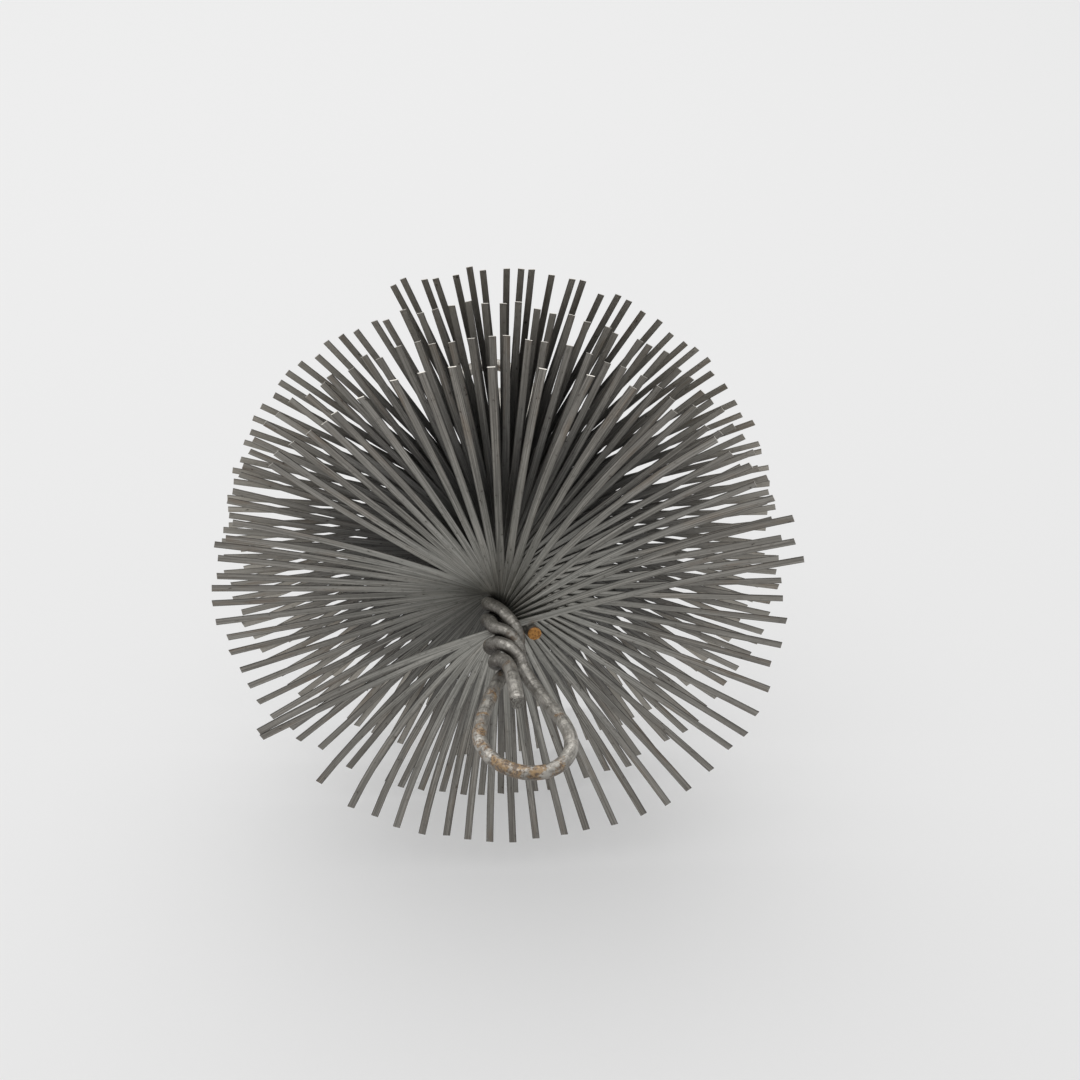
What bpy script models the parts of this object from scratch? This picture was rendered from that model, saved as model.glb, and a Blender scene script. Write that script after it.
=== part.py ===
"""Chimney sweep brush with a twisted wire core.

Flat spring steel strips lie across the core like a fanned deck of cards. Two galvanised wires hold them:
each is bent into a U with an eye in its bend, one comes from the front and one from the rear, and their
four legs are twisted together round the strips. Each strip goes through the core, so that its two ends
are two bristles, and the twist turns the row of strips into a double screw.

The core lies along Y with the front eye towards -Y. The brush stands on its lowest bristle tips, at z = 0.
"""

import math
import random

import bmesh
import bpy
from mathutils import Vector

MM = 0.001

# Driving dimensions of the bristles
BRUSH_DIAMETER = 150 * MM
BRISTLED_LENGTH = 65 * MM
STRIP_COUNT = 154
STRIP_WIDTH = 2.1 * MM
STRIP_THICKNESS = 0.27 * MM
STRIPS_PER_FAN = 7
LOOSER_FRONT = 0.13
LOOSER_POWER = 8

# The strips' direction at the front, and how far they turn from there to the rear
FIRST_STRIP_ANGLE = math.radians(20)
BRISTLE_TWIST = math.radians(635)

# Wear: the tips lean forward, most of all a little way in, as shares of the bristled length
FRONT_LEAN = 4.5 * MM
MOST_LEAN = 11.5 * MM
REST_LEAN = -0.5 * MM
MOST_LEAN_AT = 0.13
REST_LEAN_FROM = 0.28

# Wear: the front strips have slid towards their + ends, and the others have settled low
FRONT_SLIDE = 4.2 * MM
FRONT_SLIDE_TO = 0.12
REST_SLIDE_FROM = 0.2
REST_LOWERED = 4.8 * MM
REST_TO_RIGHT = -1.2 * MM
FLOOR_CUT = 0.5 * MM

# In the front turn the + ends are parted at one angle, and round another both ends droop. The first two
# strips stand apart from the rest.
PARTING_ANGLE = math.radians(149)
PARTING_REACH = math.radians(28)
PARTING_PUSH = math.radians(7)
DROOP_ANGLE = math.radians(46)
DROOP_REACH = math.radians(46)
DROOP_PUSH = math.radians(11)
FIRST_STRIP_SWAYS = (math.radians(-2), math.radians(5))
SECOND_STRIP_SWAYS = (math.radians(-5.5), math.radians(-0.6))

# Hand work: how unevenly the strips sit
SLIDE_SPREAD = 1.2 * MM
ANGLE_SPREAD = math.radians(0.5)
SWAY_SPREAD = math.radians(0.7)
LEAN_SPREAD = 0.04 * MM
LEAN_WAVE = 0.4 * MM
STRIPS_PER_WAVE = 31
SEED = 7
BEND_START = 0.45

# Driving dimensions of the core wires
WIRE_DIAMETER = 3.5 * MM
SEAT_GAP = 0.35 * MM
HELIX_SLANT = 1.09
LEG_SPACING = 4.6 * MM
BARE_PITCH = 17.5 * MM
BARE_RADIUS = 3.2 * MM
TWIST_CHANGE = 5.6 * MM

# The eye, measured from the last strip along the core
EYE_CENTRE = 43.5 * MM
EYE_HALF_WIDTH = 10.85 * MM
EYE_ROUND_LENGTH = 12.6 * MM
LEFT_LEG_LEAVES = math.radians(-150)
RIGHT_LEG_LEAVES = math.radians(18)
LEFT_LEG_LAG = math.radians(40)
RIGHT_LEG_LAG = math.radians(45)
LEG_RUN_OUT = 8 * MM
EYE_RUN_IN = 9 * MM
TAIL_LEAVES = math.radians(-232)
TAIL_END = 36.9 * MM
TAIL_HEIGHT = 5.0 * MM
TAIL_TO_SIDE = -0.6 * MM
TAIL_RUN_OUT = 4 * MM
TAIL_RUN_IN = 7 * MM
TAIL_DIP = 0.2 * MM
STUB_REACH = 2.0 * MM
STUB_FLARE = 4.2 * MM
STUB_LAG = math.radians(31)
STUB_SPRING = 7 * MM

# Each end of the core is bent a little: sideways and upwards, in mm for each mm along the core
FRONT_BEND = (0.15, 0.0)
REAR_BEND = (0.10, 0.17)
BEND_EASE = 8 * MM

# Resolution
DEGREES_PER_POINT = 15
LEG_POINTS = 9
LOOP_POINTS = 13
STUB_POINTS = 6
WIRE_BEVEL_RESOLUTION = 2

# Values that follow from the driving dimensions
BRUSH_RADIUS = BRUSH_DIAMETER / 2
WIRE_RADIUS = WIRE_DIAMETER / 2
TWIST_RATE = BRISTLE_TWIST / BRISTLED_LENGTH
LEG_OFFSET = STRIP_WIDTH / 2 + WIRE_RADIUS * HELIX_SLANT + SEAT_GAP
HELIX_RADIUS = math.hypot(LEG_OFFSET, LEG_SPACING / 2)
NEAR_LEG_ANGLE = math.atan2(LEG_OFFSET, LEG_SPACING / 2)
FAR_LEG_ANGLE = math.pi - NEAR_LEG_ANGLE
BACKING_REACH = HELIX_RADIUS + WIRE_RADIUS
LOWEST_REACH = BRUSH_RADIUS + REST_LOWERED
AXIS_HEIGHT = LOWEST_REACH - FLOOR_CUT
BARE_TWIST_RATE = 2 * math.pi / BARE_PITCH
STEP_ANGLE = math.radians(DEGREES_PER_POINT)

# Colours, as linear values
STRIP_COLOUR = (0.105, 0.101, 0.094)
WIRE_COLOUR = (0.32, 0.315, 0.30)


def clear_scene():
    for existing in list(bpy.data.objects):
        bpy.data.objects.remove(existing, do_unlink=True)


def metal(name, colour, roughness):
    material = bpy.data.materials.new(name)
    material.use_nodes = True
    shader = material.node_tree.nodes["Principled BSDF"]
    shader.inputs["Base Color"].default_value = (*colour, 1.0)
    shader.inputs["Metallic"].default_value = 1.0
    shader.inputs["Roughness"].default_value = roughness
    material.diffuse_color = (*colour, 1.0)
    return material


def smooth_step(value):
    share = min(max(value, 0.0), 1.0)
    return share * share * (3 - 2 * share)


def strip_angle(distance):
    """Direction of a strip seen from the front, counter-clockwise from +X."""
    return FIRST_STRIP_ANGLE + TWIST_RATE * distance


def radial_point(radius, angle, y):
    return Vector((radius * math.cos(angle), y, radius * math.sin(angle)))


def strip_place(number):
    """Distance of a strip behind the first one. The first strips are clamped less tightly."""
    share = number / (STRIP_COUNT - 1)
    loose = 1 - (1 - share) ** LOOSER_POWER
    return BRISTLED_LENGTH * ((1 - LOOSER_FRONT) * share + LOOSER_FRONT * loose)


def eased(first, last, start, end, share):
    """A value that eases from first to last between two shares of the bristled length."""
    return first + (last - first) * smooth_step((share - start) / (end - start))


def forward_lean(share):
    if share < MOST_LEAN_AT:
        return eased(FRONT_LEAN, MOST_LEAN, 0, MOST_LEAN_AT, share)
    return eased(MOST_LEAN, REST_LEAN, MOST_LEAN_AT, REST_LEAN_FROM, share)


def settled_slide(share, angle):
    """How far a strip has slid through the core, towards its + end."""
    settled = REST_TO_RIGHT * math.cos(angle) - REST_LOWERED * math.sin(angle)
    return eased(FRONT_SLIDE, settled, FRONT_SLIDE_TO, REST_SLIDE_FROM, share)


def parted(angle):
    """Sideways bend of a + end of the front turn, away from the place where the bristles are parted."""
    off = angle - PARTING_ANGLE
    if abs(off) > PARTING_REACH:
        return 0.0
    return math.copysign(PARTING_PUSH * (1 - abs(off) / PARTING_REACH), off)


def droop(angle):
    """How far both ends of a strip near the front have bent down."""
    off = abs(angle - DROOP_ANGLE)
    return DROOP_PUSH * max(0.0, 1 - off / DROOP_REACH)


def held_by_floor(slide, low_side, low_angle):
    """Slide of a strip after the floor has pushed its low end up, where that would reach too far down."""
    down = abs(math.sin(low_angle))
    longest = (LOWEST_REACH - STRIP_WIDTH / 2 * abs(math.cos(low_angle))) / down
    reach = min(BRUSH_RADIUS + low_side * slide, longest)
    return low_side * (reach - BRUSH_RADIUS)


def lay_strips():
    """Place, angle, slide, leans and sways of every strip, with the unevenness of hand work and use.

    The two leans and sways are for the + and - ends: how far the tip bends forward and to the side.
    """
    chance = random.Random(SEED)
    strips = []
    for number in range(STRIP_COUNT):
        y = strip_place(number)
        share = y / BRISTLED_LENGTH
        angle = strip_angle(y) + chance.uniform(-ANGLE_SPREAD, ANGLE_SPREAD)
        leans = []
        for side in (0, 1):
            wave = math.sin(2 * math.pi * number / STRIPS_PER_WAVE + 2 * side)
            leans.append(forward_lean(share) + LEAN_WAVE * wave + chance.uniform(-LEAN_SPREAD, LEAN_SPREAD))
        sways = [chance.uniform(-SWAY_SPREAD, SWAY_SPREAD) + parted(angle) - droop(angle),
                 chance.uniform(-SWAY_SPREAD, SWAY_SPREAD) + droop(angle)]
        if number < 2:
            sways = (FIRST_STRIP_SWAYS, SECOND_STRIP_SWAYS)[number]
        slide = settled_slide(share, angle) + chance.uniform(-SLIDE_SPREAD, SLIDE_SPREAD)
        low_side = -1 if math.sin(angle) > 0 else 1
        slide = held_by_floor(slide, low_side, angle + sways[0 if low_side > 0 else 1])
        strips.append((y, angle, slide, leans, sways))
    return strips


def strip_corners(y, angle, radius, axial_shift=0.0):
    """Four corners of a strip's section at this signed distance from the core's centre line."""
    across = Vector((-math.sin(angle), 0, math.cos(angle))) * STRIP_WIDTH / 2
    through = Vector((0, STRIP_THICKNESS / 2, 0))
    centre = radial_point(radius, angle, y - axial_shift)
    return [centre + across - through, centre - across - through,
            centre - across + through, centre + across + through]


def cut_at_floor(corner, outward):
    """Bring a tip's corner back along its bristle to the floor, which cuts the lowest tips flat."""
    below = -AXIS_HEIGHT - corner.z
    if below > 0 and outward.z < 0:
        return corner + outward * below / outward.z
    return corner


def add_ring(mesh_data, corners):
    first = len(mesh_data[0])
    mesh_data[0].extend(corners)
    return [first + step for step in range(4)]


def join_rings(mesh_data, near, far):
    for step in range(4):
        following = (step + 1) % 4
        mesh_data[1].append((near[step], near[following], far[following], far[step]))


def add_bristle(mesh_data, root, side, strip):
    """Draw one bristle out of the backing's side face, from its root ring to its cut tip."""
    y, angle, slide, leans, sways = strip
    reach = BRUSH_RADIUS + side * slide
    end = 0 if side > 0 else 1
    near = root
    for share in (BEND_START, 1.0):
        direction = angle + sways[end] * share
        outward = radial_point(side, direction, 0)
        corners = strip_corners(y, direction, side * reach * share, leans[end] * share ** 2)
        if share == 1.0:
            corners = [cut_at_floor(corner, outward) for corner in corners]
        far = add_ring(mesh_data, corners)
        join_rings(mesh_data, near, far)
        near = far
    mesh_data[1].append(tuple(near))


def stack_faces(old_plus, old_minus, plus, minus):
    """Faces from one strip's middle to the next. The long sides are folded inward, clear of the wires."""
    return [(old_plus[3], old_plus[2], plus[1], plus[0]),
            (old_minus[2], old_minus[3], minus[0], minus[1]),
            (old_plus[2], old_minus[2], plus[1]),
            (old_minus[2], minus[1], plus[1]),
            (old_minus[3], old_plus[3], minus[0]),
            (old_plus[3], plus[0], minus[0])]


def build_fan(strips):
    """One closed body: a slice of stacked strip middles with all its bristles drawn out of it."""
    mesh_data = ([], [])
    previous = None
    for strip in strips:
        y, angle = strip[:2]
        plus = add_ring(mesh_data, strip_corners(y, angle, BACKING_REACH))
        minus = add_ring(mesh_data, strip_corners(y, angle, -BACKING_REACH))
        if previous is None:
            mesh_data[1].append((plus[0], plus[1], minus[1], minus[0]))
        else:
            mesh_data[1].extend(stack_faces(*previous, plus, minus))
        mesh_data[1].append((plus[1], plus[2], minus[2], minus[1]))
        mesh_data[1].append((plus[3], plus[0], minus[0], minus[3]))
        add_bristle(mesh_data, plus, 1, strip)
        add_bristle(mesh_data, minus, -1, strip)
        previous = (plus, minus)
    plus, minus = previous
    mesh_data[1].append((plus[2], plus[3], minus[3], minus[2]))
    return mesh_data


def add_fan(name, strips, parent):
    vertices, faces = build_fan(strips)
    mesh = bpy.data.meshes.new(name)
    mesh.from_pydata([tuple(vertex) for vertex in vertices], [], faces)
    mesh.update()
    orient_outwards(mesh)
    fan = bpy.data.objects.new(name, mesh)
    bpy.context.collection.objects.link(fan)
    fan.data.materials.append(metal(name + " spring steel", STRIP_COLOUR, 0.55))
    fan.parent = parent
    return fan


def orient_outwards(mesh):
    shape = bmesh.new()
    shape.from_mesh(mesh)
    bmesh.ops.triangulate(shape, faces=shape.faces[:])
    bmesh.ops.recalc_face_normals(shape, faces=shape.faces[:])
    shape.to_mesh(mesh)
    shape.free()


class CoreEnd:
    """One bare end of the core, described by the distance outward from the last strip there."""

    def __init__(self, at_front):
        self.at_front = at_front
        self.bend = FRONT_BEND if at_front else REAR_BEND
        self.phase = strip_angle(0) if at_front else (math.pi - strip_angle(BRISTLED_LENGTH)) % math.pi

    def place(self, x, out, z):
        """Put a point, given as seen from outside this end, into the brush's own directions."""
        eased = out - BEND_EASE / 2 if out > BEND_EASE else max(out, 0) ** 2 / (2 * BEND_EASE)
        x += self.bend[0] * eased
        z += self.bend[1] * eased
        if self.at_front:
            return Vector((x, -out, z))
        return Vector((-x, BRISTLED_LENGTH + out, z))

    def turned(self, out):
        """How far the wires have turned at this distance, as the twist tightens past the strips."""
        change = out - TWIST_CHANGE / 2 if out > TWIST_CHANGE else out ** 2 / (2 * TWIST_CHANGE)
        return TWIST_RATE * out + (BARE_TWIST_RATE - TWIST_RATE) * change

    def leaving_distance(self, start, lag, leaving_angle):
        """Distance at which a wire comes round to the angle where it leaves the twist."""
        total = start + lag - leaving_angle + (BARE_TWIST_RATE - TWIST_RATE) * TWIST_CHANGE / 2
        return total / BARE_TWIST_RATE

    def helix(self, start, lag, until):
        """Points of a wire from the strips outward, local to this end, and its last heading."""
        count = max(4, round(self.turned(until) / STEP_ANGLE))
        points = []
        for step in range(1, count + 1):
            out = until * step / count
            settled = smooth_step(out / TWIST_CHANGE)
            angle = start + lag * settled - self.turned(out)
            radius = HELIX_RADIUS + (BARE_RADIUS - HELIX_RADIUS) * smooth_step(out / until)
            points.append((radius * math.cos(angle), out, radius * math.sin(angle)))
        across = BARE_RADIUS * BARE_TWIST_RATE
        heading = Vector((across * math.sin(angle), 1, -across * math.cos(angle))).normalized()
        return points, heading

    def placed(self, points):
        return [self.place(*point) for point in points]


def bezier(start, start_handle, end_handle, end, count):
    """Points after the start of a cubic curve, up to its end."""
    points = []
    for step in range(1, count + 1):
        share = step / count
        rest = 1 - share
        points.append(rest ** 3 * start + 3 * rest ** 2 * share * start_handle
                      + 3 * rest * share ** 2 * end_handle + share ** 3 * end)
    return points


def eye_leg(end, side):
    """One leg of an eye from the strips out to where the eye is widest. Side -1 is the left leg."""
    if side < 0:
        start = end.phase + FAR_LEG_ANGLE
        lag = LEFT_LEG_LAG
        leaving = LEFT_LEG_LEAVES
    else:
        start = end.phase - FAR_LEG_ANGLE + 2 * math.pi
        lag = RIGHT_LEG_LAG
        leaving = RIGHT_LEG_LEAVES
    until = end.leaving_distance(start, lag, leaving)
    points, heading = end.helix(start, lag, until)
    last = Vector(points[-1])
    widest = Vector((side * EYE_HALF_WIDTH, EYE_CENTRE, 0))
    handle = widest - Vector((0, EYE_RUN_IN, 0))
    points += bezier(last, last + heading * LEG_RUN_OUT, handle, widest, LEG_POINTS)
    return end.placed(points)


def eye_round(end):
    """The eye's round outer end, from its left side to its right side."""
    points = []
    for step in range(1, LOOP_POINTS):
        angle = math.pi * (1 - step / LOOP_POINTS)
        out = EYE_CENTRE + EYE_ROUND_LENGTH * math.sin(angle)
        points.append((EYE_HALF_WIDTH * math.cos(angle), out, 0))
    return end.placed(points)


def tail(end):
    """The other wire's long end: once round with the eye's legs, then straight out on top of them."""
    start = end.phase + NEAR_LEG_ANGLE
    until = end.leaving_distance(start, 0, TAIL_LEAVES)
    points, heading = end.helix(start, 0, until)
    last = Vector(points[-1])
    tip = Vector((TAIL_TO_SIDE, TAIL_END, TAIL_HEIGHT))
    handle = tip - Vector((0, TAIL_RUN_IN, -TAIL_DIP))
    points += bezier(last, last + heading * TAIL_RUN_OUT, handle, tip, LEG_POINTS)
    return end.placed(points)


def core_leg(offset):
    """A leg beside the strips, from the front strip to the rear one."""
    count = round(BRISTLE_TWIST / STEP_ANGLE)
    points = []
    for step in range(count + 1):
        share = step / count
        y = BRISTLED_LENGTH * share
        points.append(radial_point(HELIX_RADIUS, strip_angle(y) + offset, y))
    return points


def short_cut_leg(end, offset):
    """A leg through the core to this end, where it springs clear of the strips and is cut off short."""
    points = core_leg(offset)
    if end.at_front:
        points.reverse()
    last_held = STUB_SPRING if end.at_front else BRISTLED_LENGTH - STUB_SPRING
    points = [point for point in points if (point.y > last_held) == end.at_front]
    travel = STUB_SPRING + STUB_REACH
    for step in range(STUB_POINTS + 1):
        share = step / STUB_POINTS
        inward = STUB_SPRING - travel * share
        sprung = smooth_step(share)
        held_angle = end.phase - NEAR_LEG_ANGLE + TWIST_RATE * inward
        angle = held_angle + (STUB_LAG - TWIST_RATE * inward) * sprung
        radius = HELIX_RADIUS + STUB_FLARE * sprung
        points.append(end.place(radius * math.cos(angle), -inward, radius * math.sin(angle)))
    return points


def add_wire(name, points, parent):
    curve = bpy.data.curves.new(name, "CURVE")
    curve.dimensions = "3D"
    curve.bevel_depth = WIRE_RADIUS
    curve.bevel_resolution = WIRE_BEVEL_RESOLUTION
    curve.use_fill_caps = True
    spline = curve.splines.new("POLY")
    spline.points.add(len(points) - 1)
    for target, point in zip(spline.points, points):
        target.co = (*point, 1.0)
    wire = bpy.data.objects.new(name, curve)
    bpy.context.collection.objects.link(wire)
    wire.data.materials.append(metal(name + " galvanised steel", WIRE_COLOUR, 0.5))
    wire.parent = parent
    return wire


def front_eye_wire_path(front, rear):
    long_leg = list(reversed(tail(rear))) + list(reversed(core_leg(FAR_LEG_ANGLE)))
    eye = eye_leg(front, -1) + eye_round(front) + list(reversed(eye_leg(front, 1)))
    return long_leg + eye + short_cut_leg(rear, -FAR_LEG_ANGLE)


def rear_eye_wire_path(front, rear):
    long_leg = list(reversed(tail(front))) + core_leg(NEAR_LEG_ANGLE)
    eye = eye_leg(rear, -1) + eye_round(rear) + list(reversed(eye_leg(rear, 1)))
    return long_leg + eye + short_cut_leg(front, -NEAR_LEG_ANGLE)


def centre_on_floor(assembly, pieces):
    """Stand the brush on the floor with the middle of its box over the origin."""
    bpy.context.view_layer.update()
    lowest = [math.inf] * 3
    highest = [-math.inf] * 3
    for piece in pieces:
        for corner in piece.bound_box:
            for axis in range(3):
                lowest[axis] = min(lowest[axis], corner[axis])
                highest[axis] = max(highest[axis], corner[axis])
    middle_x = (lowest[0] + highest[0]) / 2
    middle_y = (lowest[1] + highest[1]) / 2
    assembly.location = (-middle_x, -middle_y, AXIS_HEIGHT)


def main():
    clear_scene()
    assembly = bpy.data.objects.new("brush_assembly", None)
    bpy.context.collection.objects.link(assembly)
    strips = lay_strips()
    pieces = []
    for first in range(0, STRIP_COUNT, STRIPS_PER_FAN):
        name = "bristle_fan_%02d" % (first // STRIPS_PER_FAN + 1)
        pieces.append(add_fan(name, strips[first:first + STRIPS_PER_FAN], assembly))
    front = CoreEnd(True)
    rear = CoreEnd(False)
    pieces.append(add_wire("front_eye_wire", front_eye_wire_path(front, rear), assembly))
    pieces.append(add_wire("rear_eye_wire", rear_eye_wire_path(front, rear), assembly))
    centre_on_floor(assembly, pieces)


main()
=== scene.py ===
"""The looks of a wire flue brush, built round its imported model.

Flat spring steel strips are clamped between two galvanised wires that are twisted together. Each strip
goes through the core and shows as two bristles. The strips and the wires here take the places of the
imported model's fans and wires, with the finer shape and finish of the real ones.
"""

import math
import random

import bmesh
import bpy
from mathutils import Matrix, Vector, kdtree, noise


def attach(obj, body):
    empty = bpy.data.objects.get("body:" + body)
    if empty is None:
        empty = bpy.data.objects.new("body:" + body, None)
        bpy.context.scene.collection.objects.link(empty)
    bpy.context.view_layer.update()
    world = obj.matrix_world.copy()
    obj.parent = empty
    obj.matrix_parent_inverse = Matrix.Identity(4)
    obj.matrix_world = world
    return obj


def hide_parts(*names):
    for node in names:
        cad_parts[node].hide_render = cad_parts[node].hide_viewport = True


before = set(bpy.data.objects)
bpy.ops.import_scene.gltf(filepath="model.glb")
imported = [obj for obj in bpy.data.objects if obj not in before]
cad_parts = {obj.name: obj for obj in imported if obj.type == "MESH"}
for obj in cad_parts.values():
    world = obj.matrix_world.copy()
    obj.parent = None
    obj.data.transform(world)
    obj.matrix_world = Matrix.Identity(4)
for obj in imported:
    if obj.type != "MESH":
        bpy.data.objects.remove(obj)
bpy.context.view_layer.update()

MM = 0.001

# The strips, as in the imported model
BRUSH_RADIUS = 75 * MM
BRISTLED_LENGTH = 65 * MM
STRIP_COUNT = 154
STRIP_WIDTH = 2.1 * MM
STRIP_THICKNESS = 0.27 * MM
STRIPS_PER_FAN = 7
LOOSER_FRONT = 0.13
LOOSER_POWER = 8
FIRST_STRIP_ANGLE = math.radians(20)
BRISTLE_TWIST = math.radians(635)
FRONT_LEAN = 4.5 * MM
MOST_LEAN = 11.5 * MM
REST_LEAN = -0.5 * MM
MOST_LEAN_AT = 0.13
REST_LEAN_FROM = 0.28
FRONT_SLIDE = 4.2 * MM
FRONT_SLIDE_TO = 0.12
REST_SLIDE_FROM = 0.2
REST_LOWERED = 4.8 * MM
REST_TO_RIGHT = -1.2 * MM
FLOOR_CUT = 0.5 * MM
PARTING_ANGLE = math.radians(149)
PARTING_REACH = math.radians(28)
PARTING_PUSH = math.radians(7)
DROOP_ANGLE = math.radians(46)
DROOP_REACH = math.radians(46)
DROOP_PUSH = math.radians(11)
FIRST_STRIPS_SWAYS = (
    (math.radians(-2), math.radians(5)),
    (math.radians(-5.5), math.radians(-0.6)),
)
SLIDE_SPREAD = 1.2 * MM
ANGLE_SPREAD = math.radians(0.5)
SWAY_SPREAD = math.radians(0.7)
LEAN_SPREAD = 0.04 * MM
LEAN_WAVE = 0.4 * MM
STRIPS_PER_WAVE = 31
SEED = 7
TWIST_RATE = BRISTLE_TWIST / BRISTLED_LENGTH
LOWEST_REACH = BRUSH_RADIUS + REST_LOWERED
AXIS_HEIGHT = LOWEST_REACH - FLOOR_CUT

# Finer shape of a strip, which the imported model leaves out. The real strips measure a little narrower than
# the model's, the rear ones more so
BRISTLE_SEGMENTS = 9
EDGE_ROUND = 0.06 * MM
SHEAR_SLANT = 0.22 * MM
SEEN_WIDTH_IN_FRONT = 1.97 * MM
SEEN_WIDTH_BEHIND = 1.72 * MM
ROLL_SPREAD = math.radians(7)
FAN_SEED = 100

# The core wires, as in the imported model
WIRE_DIAMETER = 3.5 * MM
WIRE_RADIUS = WIRE_DIAMETER / 2
SEAT_GAP = 0.35 * MM
HELIX_SLANT = 1.09
LEG_SPACING = 4.6 * MM
BARE_PITCH = 17.5 * MM
BARE_RADIUS = 3.2 * MM
TWIST_CHANGE = 5.6 * MM
EYE_CENTRE = 43.5 * MM
EYE_HALF_WIDTH = 10.85 * MM
EYE_ROUND_LENGTH = 12.6 * MM
LEFT_LEG_LEAVES = math.radians(-120)
RIGHT_LEG_LEAVES = math.radians(18)
LEFT_LEG_LAG = math.radians(40)
RIGHT_LEG_LAG = math.radians(45)
LEG_RUN_OUT = 8 * MM
EYE_RUN_IN = 9 * MM
TAIL_LEAVES = math.radians(-232)
TAIL_END = 36.9 * MM
TAIL_HEIGHT = 5.0 * MM
TAIL_TO_SIDE = -0.6 * MM
TAIL_RUN_OUT = 4 * MM
TAIL_RUN_IN = 7 * MM
TAIL_DIP = 0.2 * MM
STUB_REACH = 2.0 * MM
STUB_FLARE = 4.2 * MM
STUB_LAG = math.radians(31)
STUB_SPRING = 7 * MM
FRONT_BEND = (0.15, 0.0)
REAR_BEND = (0.10, 0.17)
BEND_EASE = 8 * MM
LEG_OFFSET = STRIP_WIDTH / 2 + WIRE_RADIUS * HELIX_SLANT + SEAT_GAP
HELIX_RADIUS = math.hypot(LEG_OFFSET, LEG_SPACING / 2)
NEAR_LEG_ANGLE = math.atan2(LEG_OFFSET, LEG_SPACING / 2)
FAR_LEG_ANGLE = math.pi - NEAR_LEG_ANGLE
BACKING_REACH = HELIX_RADIUS + WIRE_RADIUS
BARE_TWIST_RATE = 2 * math.pi / BARE_PITCH

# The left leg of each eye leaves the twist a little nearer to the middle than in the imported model, as the
# real one does
LEFT_LEG_RUN_OUT = 2.2 * MM
LEFT_EYE_RUN_IN = 5 * MM

# Finer shape of a wire: its skin's steps, the cut ends, a slight unevenness, and the cutter's groove
WIRE_STEP_ANGLE = math.radians(6)
WIRE_SIDES = 28
LEG_POINTS = 30
EYE_ROUND_POINTS = 40
TAIL_POINTS = 60
STUB_POINTS = 18
CUT_BEVEL = 0.32 * MM
UNEVEN_SHARE = 0.015
UNEVEN_LENGTH = 3 * MM
UNEVEN_AROUND = 1.5
GROOVE_FROM_END = 1.3 * MM
GROOVE_LENGTH = 0.9 * MM
GROOVE_DEPTH = 0.95 * MM
GROOVE_FLANK = 0.55
GROOVE_ROUND = 0.25

# Which of its finishes a face of a strip or a wire has
SURFACE = 0
CUT_END = 1
RUSTED_END = 2

# Where the axis's point at the first strip lies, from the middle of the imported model's box
FIRST_STRIP_Y = -32.482 * MM
AXIS_X = 1.026 * MM


def smooth_step(value):
    """0 up to 0, 1 from 1 on, and a smooth rise between them."""
    share = min(max(value, 0.0), 1.0)
    return share * share * (3 - 2 * share)


def strip_angle(distance):
    """Angle of a strip's + end at this distance behind the first strip."""
    return FIRST_STRIP_ANGLE + TWIST_RATE * distance


def radial_point(radius, angle, y):
    """A point round the core's axis, in the core's own directions."""
    return Vector((radius * math.cos(angle), y, radius * math.sin(angle)))


def to_world(point):
    """From the core's own directions, with y from the first strip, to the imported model's frame."""
    return point + Vector((AXIS_X, FIRST_STRIP_Y, AXIS_HEIGHT))


def linear(hex_colour):
    """An sRGB hex colour as the linear values that shaders use."""
    channels = []
    for start in (1, 3, 5):
        value = int(hex_colour[start:start + 2], 16) / 255
        channels.append(value / 12.92 if value <= 0.04045 else ((value + 0.055) / 1.055) ** 2.4)
    return (*channels, 1.0)


class Finish:
    """A new material with its Principled BSDF, and a short way to add nodes to it."""

    def __init__(self, name, colour, metallic, roughness):
        self.material = bpy.data.materials.new(name)
        self.material.use_nodes = True
        self.tree = self.material.node_tree
        self.shader = self.tree.nodes["Principled BSDF"]
        self.set(self.shader, "Base Color", linear(colour))
        self.set(self.shader, "Metallic", metallic)
        self.set(self.shader, "Roughness", roughness)

    def set(self, node, socket, value):
        node.inputs[socket].default_value = value

    def node(self, kind, settings=None, **links):
        """Add a node with its settings and links.

        A setting is an attribute or a socket's value. A link names a socket, or its number after _, and
        the node or output that feeds it.
        """
        added = self.tree.nodes.new(kind)
        for key, value in (settings or {}).items():
            if hasattr(added, str(key)):
                setattr(added, key, value)
            else:
                added.inputs[key].default_value = value
        for socket, source in links.items():
            self.link(added, socket, source)
        return added

    def link(self, node, socket, source):
        output = source if isinstance(source, bpy.types.NodeSocket) else source.outputs[0]
        target = node.inputs[int(socket[1:])] if socket[0] == "_" else node.inputs[socket]
        self.tree.links.new(output, target)


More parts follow.
